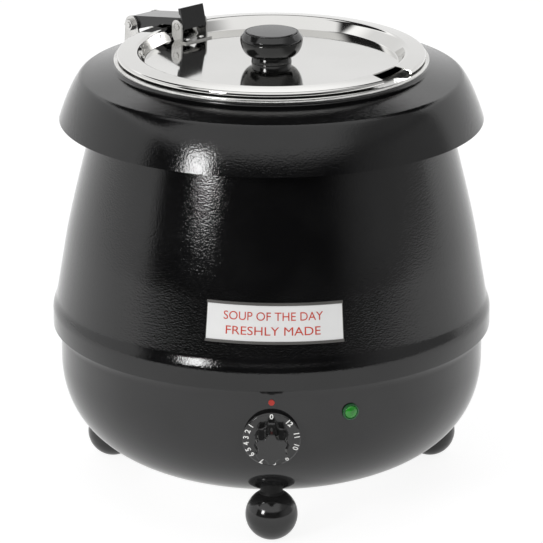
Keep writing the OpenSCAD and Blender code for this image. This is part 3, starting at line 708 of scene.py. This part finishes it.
def split_long(mesh, longest):
    """Cuts a flat mesh into columns, so that it can be bent round the body."""
    bm = bmesh.new()
    bm.from_mesh(mesh)
    low = min(v.co.x for v in bm.verts)
    high = max(v.co.x for v in bm.verts)
    count = int((high - low) / longest)
    for i in range(1, count):
        parts = bm.verts[:] + bm.edges[:] + bm.faces[:]
        bmesh.ops.bisect_plane(bm, geom=parts, plane_co=(low + i * (high - low) / count, 0, 0),
                               plane_no=(1, 0, 0))
    bmesh.ops.triangulate(bm, faces=bm.faces)
    bm.to_mesh(mesh)
    bm.free()


def build_label():
    lip = 1.6 * MM
    back, card, front = 0.5 * MM, 0.9 * MM, 1.4 * MM
    a = Vector
    low, high = LABEL_LOW, LABEL_HIGH
    section = [a((0, low - lip)), a((front, low - lip)), a((front, low + 0.4 * MM)),
               a((card + 0.05 * MM, low + 0.5 * MM)), a((card + 0.05 * MM, low)), a((back, low)),
               a((back, high)), a((card + 0.05 * MM, high)),
               a((card + 0.05 * MM, high - 0.5 * MM)),
               a((front, high - 0.4 * MM)), a((front, high + lip)), a((0, high + lip))]
    rail = bent_strip("label_rail", soften(section, 0.3 * MM), LABEL_HALF * 1.012)
    add_piece("label_rail", rail, "holder", "body", "label_holder")
    card_section = [a((back, low)), a((card, low)), a((card, high)), a((back, high))]
    add_piece("label_insert", bent_strip("label_insert", card_section, LABEL_HALF),
              "card", "body", "label_card")
    middle = (low + high) / 2
    shift = 1.2 * MM        # the words stand a little left of the card's middle
    for row, (words, width, rise) in enumerate((("SOUP OF THE DAY", 74, 5.3),
                                                ("FRESHLY MADE", 70, -5.6))):
        mesh = text_mesh("label_row_%d" % row, words, 6.3 * MM, width * MM)
        split_long(mesh, 2.5 * MM)
        radius = bell_radius(middle)
        for v in mesh.vertices:
            v.co = label_place((v.co.x - shift) / radius, middle + v.co.y + rise * MM,
                               card + 0.09 * MM + v.co.z)
        add_piece("label_row_%d" % row, mesh, "ink", "body")


# ---------------------------------------------------------------- studio and camera

# The studio as the kettle mirrors it
WALL_GLOW = 0.98        # the white wall behind
WALL_LIFT = 0.45        # what the upper part of the wall adds to that
PANEL_GLOW = 1.15       # the soft panel in front and overhead
RIGHT_GLOW = 0.45       # light that reaches round from the right
ROOM_GLOW = 0.02        # the dark room between them
FLOOR_GLOW = 0.36       # the floor's own light
FLOOR_WHITE = 0.85      # and how much it reflects
# The studio as the camera sees it
SEEN_BACKDROP = 0.96
SEEN_FLOOR_GLOW = 0.885
SEEN_FLOOR_WHITE = 0.2


def build_world():
    world = bpy.data.worlds.new("studio")
    bpy.context.scene.world = world
    world.use_nodes = True
    tree = world.node_tree
    tree.nodes.clear()

    def math(op, a, b):
        return add_node(tree, "ShaderNodeMath", {0: a, 1: b}, operation=op).outputs[0]

    def plus(a, b):
        return math("ADD", a, b)

    def times(a, b):
        return math("MULTIPLY", a, b)

    def rest_of(value):
        return math("SUBTRACT", 1.0, value)

    def ramp(value, low, high):
        return add_node(tree, "ShaderNodeMapRange",
                        {"Value": value, "From Min": low, "From Max": high},
                        interpolation_type="SMOOTHSTEP").outputs["Result"]

    way = add_node(tree, "ShaderNodeTexCoord").outputs["Generated"]
    x, y, z = add_node(tree, "ShaderNodeSeparateXYZ", {"Vector": way}).outputs
    # The wall fills the rear half, seen from a little to the left. It is brighter above
    # 25 degrees and ends at 35
    rear = ramp(plus(times(x, -0.3256), times(y, 0.9455)), -0.05, 0.06)
    lift = plus(WALL_GLOW, times(ramp(z, 0.42, 0.54), WALL_LIFT))
    wall = times(times(rear, lift), rest_of(ramp(z, 0.55, 0.59)))
    # The panel hangs in front from 25 degrees up and over the top, down to 55 degrees at the
    # rear. It is weaker to the right
    hidden = times(rear, rest_of(ramp(z, 0.80, 0.88)))
    panel = times(ramp(z, 0.39, 0.47), rest_of(hidden))
    panel = times(panel, rest_of(times(ramp(x, 0.45, 0.75), 0.65)))
    right = times(ramp(x, 0.5, 0.95), rest_of(ramp(z, 0.36, 0.46)))
    right = times(right, rest_of(rear))
    level = plus(wall, plus(times(panel, PANEL_GLOW), plus(times(right, RIGHT_GLOW), ROOM_GLOW)))
    seen = add_node(tree, "ShaderNodeLightPath").outputs["Is Camera Ray"]
    strength = plus(times(level, rest_of(seen)), times(seen, SEEN_BACKDROP))
    background = add_node(tree, "ShaderNodeBackground",
                          {"Color": (1, 1, 1, 1), "Strength": strength})
    out = add_node(tree, "ShaderNodeOutputWorld")
    tree.links.new(background.outputs[0], out.inputs["Surface"])


def floor_white():
    """Even and pale where the camera sees it. As the kettle mirrors it, it fades out towards
    the front, as a tabletop of limited depth does."""
    n = Nodes("floor_white")
    shader = n.shader.inputs
    shader["Roughness"].default_value = 0.9
    shader["Specular IOR Level"].default_value = 0.0
    shader["Emission Color"].default_value = (1, 1, 1, 1)
    seen = n.add("ShaderNodeLightPath").outputs["Is Camera Ray"]
    depth = n.add("ShaderNodeSeparateXYZ", {"Vector": n.place}).outputs["Y"]
    table = n.spread(depth, 0.05, 1.0, -1.9, -1.3)
    for socket, mirrored, direct in (("Emission Strength", FLOOR_GLOW, SEEN_FLOOR_GLOW),
                                     ("Base Color", FLOOR_WHITE, SEEN_FLOOR_WHITE)):
        faded = n.add("ShaderNodeMath", {0: table, 1: mirrored}, operation="MULTIPLY").outputs[0]
        n.link(n.add("ShaderNodeMix", {0: seen, 2: faded, 3: direct}).outputs[0], socket)
    return n.material


def build_floor():
    half = 14.0
    mesh = bpy.data.meshes.new("floor")
    mesh.from_pydata([(-half, -half, 0), (half, -half, 0), (half, half, 0), (-half, half, 0)],
                     [], [(0, 1, 2, 3)])
    mesh.materials.append(floor_white())
    ground = bpy.data.objects.new("floor", mesh)
    bpy.context.scene.collection.objects.link(ground)


def build_softbox():
    """The one lamp: a softbox in front and to the left, aimed at the kettle's middle."""
    light = bpy.data.lights.new("left_softbox", "AREA")
    light.shape = "RECTANGLE"
    light.size, light.size_y = 0.8, 1.0
    light.energy = 60
    obj = bpy.data.objects.new("left_softbox", light)
    bpy.context.scene.collection.objects.link(obj)
    azimuth, elevation, distance = radians(-130), radians(19), 4.2
    aim = Vector((0, 0, 0.2))
    away = distance * Vector((cos(azimuth) * cos(elevation), sin(azimuth) * cos(elevation),
                              sin(elevation)))
    obj.location = aim + away
    obj.rotation_euler = away.to_track_quat("Z", "Y").to_euler()


def build_camera():
    """From in front, 18.4 degrees down, with a long lens."""
    data = bpy.data.cameras.new("camera")
    data.sensor_width = 36
    data.lens = 261.1
    data.clip_end = 60
    camera = bpy.data.objects.new("camera", data)
    bpy.context.scene.collection.objects.link(camera)
    camera.location = (0, -2.9141, 1.1426)
    camera.rotation_euler = (pi / 2 - 0.3215, 0, 0)
    bpy.context.scene.camera = camera


build_camera()
dress_cad()
build_body()
build_feet()
build_lid()
build_dial()
build_lamp()
build_label()
build_world()
build_floor()
build_softbox()
bpy.context.scene.view_settings.view_transform = "Standard"
